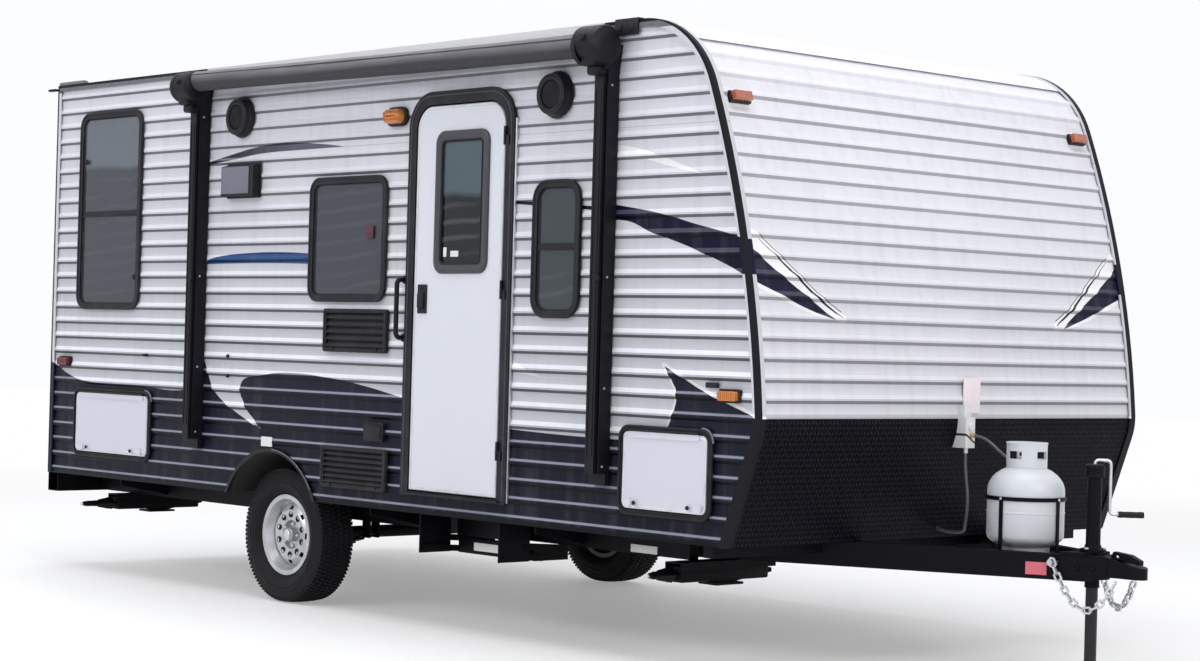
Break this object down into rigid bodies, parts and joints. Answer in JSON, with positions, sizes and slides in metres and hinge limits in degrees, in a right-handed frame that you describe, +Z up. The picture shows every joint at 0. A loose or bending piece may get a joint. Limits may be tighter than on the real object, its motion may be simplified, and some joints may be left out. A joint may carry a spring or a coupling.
{
  "type": "travel_caravan",
  "caption": "Single-axle travel caravan with corrugated siding, awning rolled up, folding entry step, gas cylinder and jack on its tongue, parked on the jack.",
  "frame": {"origin": "centre of the coupler's ball socket", "axes": "+X forward along the length towards the tow vehicle, +Y to the left of travel, +Z up; the ground is at Z -0.445 m"},
  "size_m": [6.321, 2.6418, 2.666],
  "materials": {
    "trim_light": "satin",
    "amber_lens": "gloss",
    "awning_black": "satin",
    "awning_fabric": "matt",
    "chassis_black": "satin",
    "baggage_panel": "satin",
    "frame_black": "matt",
    "tinted_glass": "gloss",
    "door_white": "satin",
    "trim_dark": "satin",
    "underbody": "matt",
    "tank_white": "gloss",
    "regulator_grey": "satin",
    "hose_grey": "satin",
    "zinc": "satin",
    "jack_steel": "satin",
    "red_lens": "gloss",
    "rim_silver": "satin",
    "roof_white": "satin",
    "vent_white": "matt",
    "vent_black": "matt",
    "siding_front": "satin",
    "siding_side": "satin",
    "tread_black": "gloss",
    "tyre": "matt",
    "wall_board": "matt",
    "well_black": "matt"
  },
  "bodies": {
    "trailer": {"amber_lamps": "amber_lens", "arch_lips": "trim_light", "awning_arms": "awning_black", "awning_roll": "awning_fabric", "axle": "chassis_black", "baggage_frames": "frame_black", "coupler": "chassis_black", "cross_members": "chassis_black", "door_frame": "frame_black", "edge_trims": "trim_dark", "floor": "underbody", "gas_bracket": "chassis_black", "gas_cylinder": "tank_white", "gas_regulator": "regulator_grey", "grab_handle": "trim_light", "hose_supply": "hose_grey", "hose_tank": "hose_grey", "jack_crank": "zinc", "jack_leg": "jack_steel", "lamp_bases": "frame_black", "leaf_springs": "chassis_black", "main_rails": "chassis_black", "rear_bumper": "chassis_black", "red_lamps": "red_lens", "roof": "roof_white", "roof_vents": "vent_white", "safety_chains": "zinc", "side_vents": "vent_black", "siding_front": "siding_front", "siding_left": "siding_side", "siding_rear": "siding_side", "siding_right": "siding_side", "speakers": "frame_black", "stabilisers": "chassis_black", "step_brackets": "chassis_black", "tongue_jack": "chassis_black", "tongue_rails": "chassis_black", "tread_plate": "tread_black", "wall_front": "wall_board", "wall_left": "wall_board", "wall_rear": "wall_board", "wall_right": "wall_board", "wheel_wells": "well_black", "window_frames": "frame_black", "window_glass": "tinted_glass"},
    "wheel_right": {"tyre_right": "tyre", "rim_right": "rim_silver"},
    "wheel_left": {"tyre_left": "tyre", "rim_left": "rim_silver"},
    "entry_door": {"door_slab": "door_white", "door_glass": "tinted_glass", "door_fittings": "frame_black"},
    "baggage_rear": {"baggage_door_rear": "baggage_panel"},
    "baggage_front": {"baggage_door_front": "baggage_panel"},
    "baggage_left": {"baggage_door_left": "baggage_panel"},
    "step_inner": {"step_arms_inner": "chassis_black"},
    "step_outer": {"step_arms_outer": "chassis_black"},
    "step_tread": {"step_tread": "chassis_black"}
  },
  "joints": [
    {"name": "wheel_right_spin", "type": "hinge", "parent": "trailer", "child": "wheel_right", "pos_m": [-4.095, -1.04, -0.12], "axis": [0, 1, 0], "continuous": true},
    {"name": "wheel_left_spin", "type": "hinge", "parent": "trailer", "child": "wheel_left", "pos_m": [-4.095, 1.04, -0.12], "axis": [0, 1, 0], "continuous": true},
    {"name": "entry_door_hinge", "type": "hinge", "parent": "trailer", "child": "entry_door", "pos_m": [-2.392, -1.243, 1.021], "axis": [0, 0, 1], "range_deg": [0, 170]},
    {"name": "baggage_rear_hinge", "type": "hinge", "parent": "trailer", "child": "baggage_rear", "pos_m": [-5.552, -1.236, 0.482], "axis": [-1, 0, 0], "range_deg": [0, 170]},
    {"name": "baggage_front_hinge", "type": "hinge", "parent": "trailer", "child": "baggage_front", "pos_m": [-1.3945, -1.236, 0.478], "axis": [-1, 0, 0], "range_deg": [0, 170]},
    {"name": "baggage_left_hinge", "type": "hinge", "parent": "trailer", "child": "baggage_left", "pos_m": [-1.3945, 1.236, 0.478], "axis": [1, 0, 0], "range_deg": [0, 170]},
    {"name": "step_fold", "type": "hinge", "parent": "trailer", "child": "step_inner", "pos_m": [-2.7, -1.04, -0.045], "axis": [-1, 0, 0], "range_deg": [0, 140]},
    {"name": "step_link", "type": "hinge", "parent": "trailer", "child": "step_outer", "pos_m": [-2.7, -1.16, -0.085], "axis": [-1, 0, 0], "range_deg": [0, 140]},
    {"name": "step_level", "type": "hinge", "parent": "step_inner", "child": "step_tread", "pos_m": [-2.7, -0.80548, -0.06], "axis": [-1, 0, 0], "range_deg": [-140, 0]}
  ],
  "couplings": [
    {"joint": "step_link", "follows": "step_fold", "ratio": 1},
    {"joint": "step_level", "follows": "step_fold", "ratio": -1}
  ]
}
